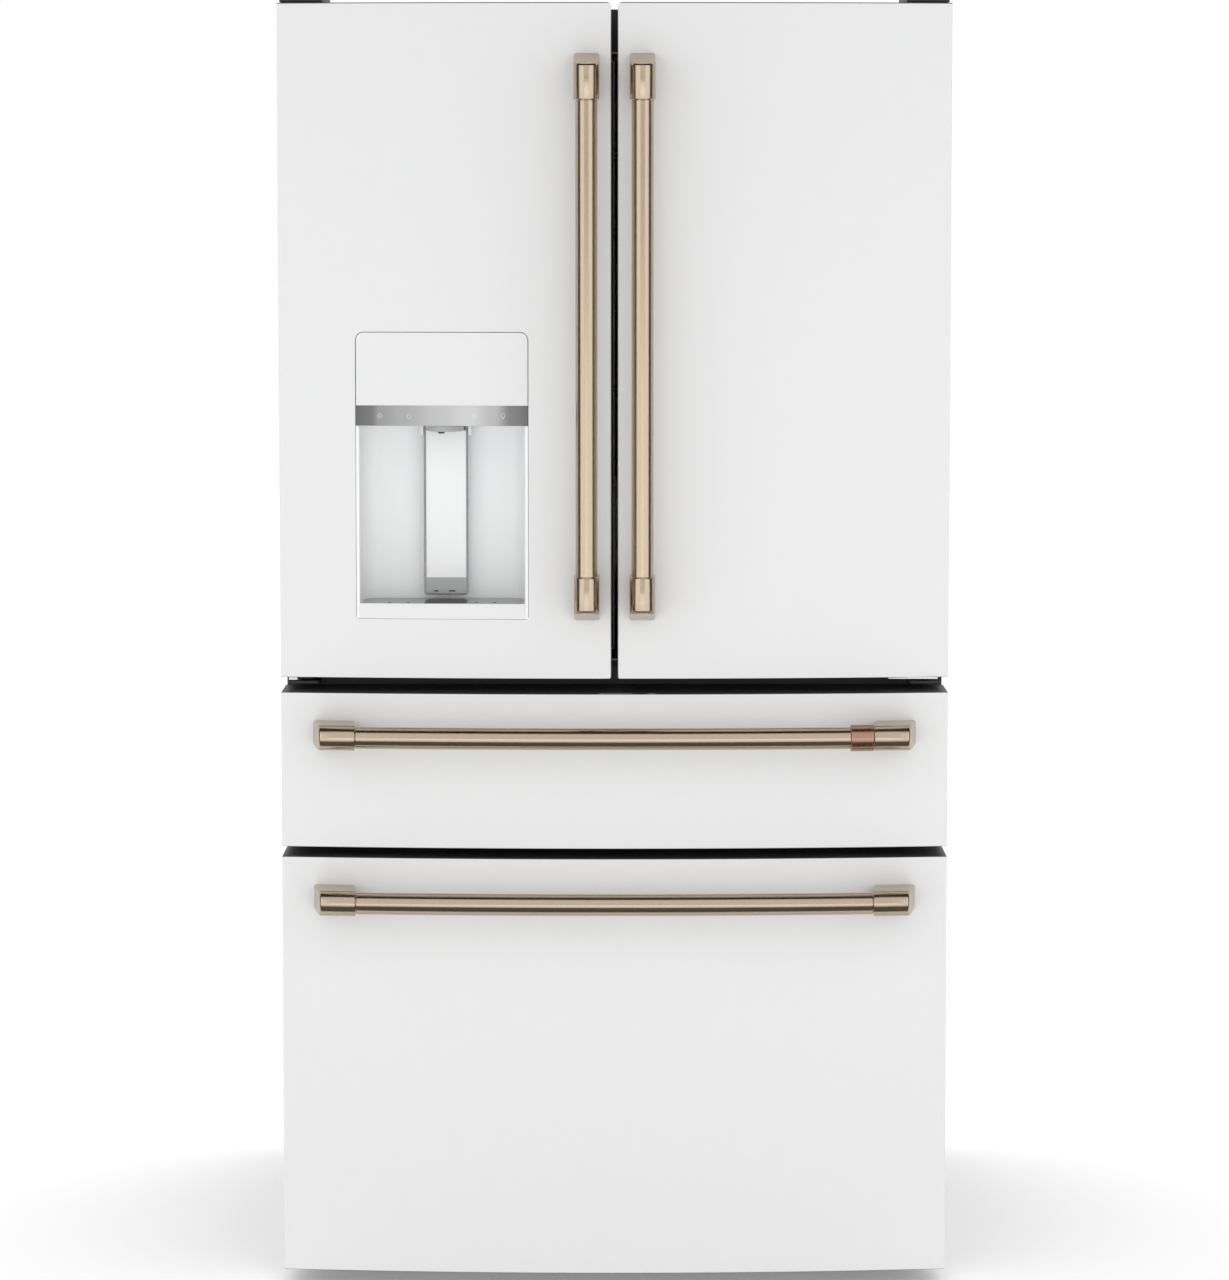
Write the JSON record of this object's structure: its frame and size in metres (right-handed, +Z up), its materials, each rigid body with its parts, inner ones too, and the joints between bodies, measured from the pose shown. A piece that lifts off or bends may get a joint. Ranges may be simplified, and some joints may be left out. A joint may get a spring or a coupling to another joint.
{
  "type": "french door refrigerator",
  "caption": "French door refrigerator with hinged upper doors, a water and ice dispenser, a middle drawer, a bottom freezer drawer and bronze bar handles.",
  "frame": {"origin": "on the floor, under the middle of the bounding box with everything closed", "axes": "+Z up, the doors face -Y, +X to the right of a person who faces the doors"},
  "size_m": [0.908, 0.933, 1.775],
  "materials": {
    "case_steel": "satin",
    "foam": "matte",
    "white_liner": "satin",
    "white_enamel": "satin",
    "white_plastic": "satin",
    "grey_plastic": "matte",
    "seal_grey": "matte",
    "bronze": "satin",
    "copper": "satin",
    "steel": "satin",
    "zinc_steel": "satin",
    "black_steel": "satin",
    "clear_plastic": "gloss",
    "glass": "gloss",
    "aluminium": "satin",
    "black_plastic": "satin",
    "roller_nylon": "satin"
  },
  "bodies": {
    "cabinet": {"case_wrapper": "case_steel", "foam_insulation": "foam", "room_liners": "white_liner", "rear_panel": "zinc_steel", "base_frame": "zinc_steel", "base_grille": "grey_plastic", "compressor": "black_steel", "condenser": "black_steel", "air_ducts": "white_plastic", "evaporator": "aluminium", "glass_shelves": "glass", "door_hinges": "zinc_steel", "hinge_covers": "grey_plastic", "slide_rails": "zinc_steel"},
    "left_door": {"left_door_skin": "white_enamel", "left_door_end_caps": "grey_plastic", "left_door_core": "foam", "left_door_liner": "white_liner", "left_door_seal": "seal_grey", "left_door_bins": "clear_plastic", "left_door_handle": "bronze", "ice_maker": "white_plastic", "dispenser_housing": "white_plastic", "dispenser_band": "steel", "dispenser_tray": "grey_plastic"},
    "right_door": {"right_door_skin": "white_enamel", "right_door_end_caps": "grey_plastic", "right_door_core": "foam", "right_door_liner": "white_liner", "right_door_seal": "seal_grey", "right_door_bins": "clear_plastic", "right_door_handle": "bronze"},
    "mullion": {"mullion_bar": "black_plastic"},
    "dispenser_lever": {"dispenser_paddle": "white_plastic"},
    "middle_drawer": {"middle_drawer_skin": "white_enamel", "middle_drawer_end_caps": "grey_plastic", "middle_drawer_core": "foam", "middle_drawer_seal": "seal_grey", "middle_drawer_handle": "bronze", "middle_handle_collar": "copper", "middle_drawer_slides": "zinc_steel", "middle_drawer_bin": "white_plastic"},
    "middle_links": {"middle_drawer_slide_links": "zinc_steel"},
    "freezer_drawer": {"freezer_drawer_skin": "white_enamel", "freezer_drawer_end_caps": "grey_plastic", "freezer_drawer_core": "foam", "freezer_drawer_seal": "seal_grey", "freezer_drawer_handle": "bronze", "freezer_drawer_slides": "zinc_steel", "freezer_drawer_bin": "white_plastic"},
    "freezer_links": {"freezer_drawer_slide_links": "zinc_steel"},
    "upper_basket": {"freezer_basket": "white_plastic"},
    "left_crisper": {"crisper_left": "clear_plastic"},
    "right_crisper": {"crisper_right": "clear_plastic"},
    "condenser_blades": {"condenser_fan": "black_plastic"},
    "evaporator_blades": {"evaporator_fan": "black_plastic"},
    "front_left_roller": {"roller_front_left": "roller_nylon"},
    "front_right_roller": {"roller_front_right": "roller_nylon"},
    "rear_left_roller": {"roller_rear_left": "roller_nylon"},
    "rear_right_roller": {"roller_rear_right": "roller_nylon"}
  },
  "joints": [
    {"name": "left_door_swing", "type": "hinge", "parent": "cabinet", "child": "left_door", "pos_m": [-0.434, -0.335, 1.3], "axis": [0, 0, -1], "range_deg": [0, 125]},
    {"name": "right_door_swing", "type": "hinge", "parent": "cabinet", "child": "right_door", "pos_m": [0.434, -0.335, 1.3], "axis": [0, 0, 1], "range_deg": [0, 125]},
    {"name": "mullion_fold", "type": "hinge", "parent": "left_door", "child": "mullion", "pos_m": [-0.046, -0.2751, 1.276], "axis": [0, 0, 1], "range_deg": [0, 90]},
    {"name": "dispenser_push", "type": "hinge", "parent": "left_door", "child": "dispenser_lever", "pos_m": [-0.23, -0.331, 1.179], "axis": [1, 0, 0], "range_deg": [0, 3], "stiffness_Nm_per_rad": 4, "springref_deg": -3.44},
    {"name": "middle_drawer_slide", "type": "slide", "parent": "cabinet", "child": "middle_drawer", "axis": [0, -1, 0], "range_m": [0, 0.43]},
    {"name": "middle_link_slide", "type": "slide", "parent": "cabinet", "child": "middle_links", "axis": [0, -1, 0], "range_m": [0, 0.215]},
    {"name": "freezer_drawer_slide", "type": "slide", "parent": "cabinet", "child": "freezer_drawer", "axis": [0, -1, 0], "range_m": [0, 0.48]},
    {"name": "freezer_link_slide", "type": "slide", "parent": "cabinet", "child": "freezer_links", "axis": [0, -1, 0], "range_m": [0, 0.24]},
    {"name": "basket_slide", "type": "slide", "parent": "cabinet", "child": "upper_basket", "axis": [0, -1, 0], "range_m": [0, 0.336]},
    {"name": "left_crisper_slide", "type": "slide", "parent": "cabinet", "child": "left_crisper", "axis": [0, -1, 0], "range_m": [0, 0.05]},
    {"name": "right_crisper_slide", "type": "slide", "parent": "cabinet", "child": "right_crisper", "axis": [0, -1, 0], "range_m": [0, 0.05]},
    {"name": "condenser_fan_spin", "type": "hinge", "parent": "cabinet", "child": "condenser_blades", "pos_m": [-0.059, 0.35, 0.145], "axis": [1, 0, 0], "continuous": true},
    {"name": "evaporator_fan_spin", "type": "hinge", "parent": "cabinet", "child": "evaporator_blades", "pos_m": [0, 0.3675, 0.47], "axis": [0, 1, 0], "continuous": true},
    {"name": "front_left_roller_spin", "type": "hinge", "parent": "cabinet", "child": "front_left_roller", "pos_m": [-0.38, -0.225, 0.0205], "axis": [1, 0, 0], "continuous": true},
    {"name": "front_right_roller_spin", "type": "hinge", "parent": "cabinet", "child": "front_right_roller", "pos_m": [0.38, -0.225, 0.0205], "axis": [1, 0, 0], "continuous": true},
    {"name": "rear_left_roller_spin", "type": "hinge", "parent": "cabinet", "child": "rear_left_roller", "pos_m": [-0.38, 0.42, 0.019], "axis": [1, 0, 0], "continuous": true},
    {"name": "rear_right_roller_spin", "type": "hinge", "parent": "cabinet", "child": "rear_right_roller", "pos_m": [0.38, 0.42, 0.019], "axis": [1, 0, 0], "continuous": true}
  ],
  "couplings": [
    {"joint": "mullion_fold", "follows": "left_door_swing", "ratio": 0.72},
    {"joint": "middle_link_slide", "follows": "middle_drawer_slide", "ratio": 0.5},
    {"joint": "freezer_link_slide", "follows": "freezer_drawer_slide", "ratio": 0.5},
    {"joint": "basket_slide", "follows": "freezer_drawer_slide", "ratio": 0.7}
  ]
}
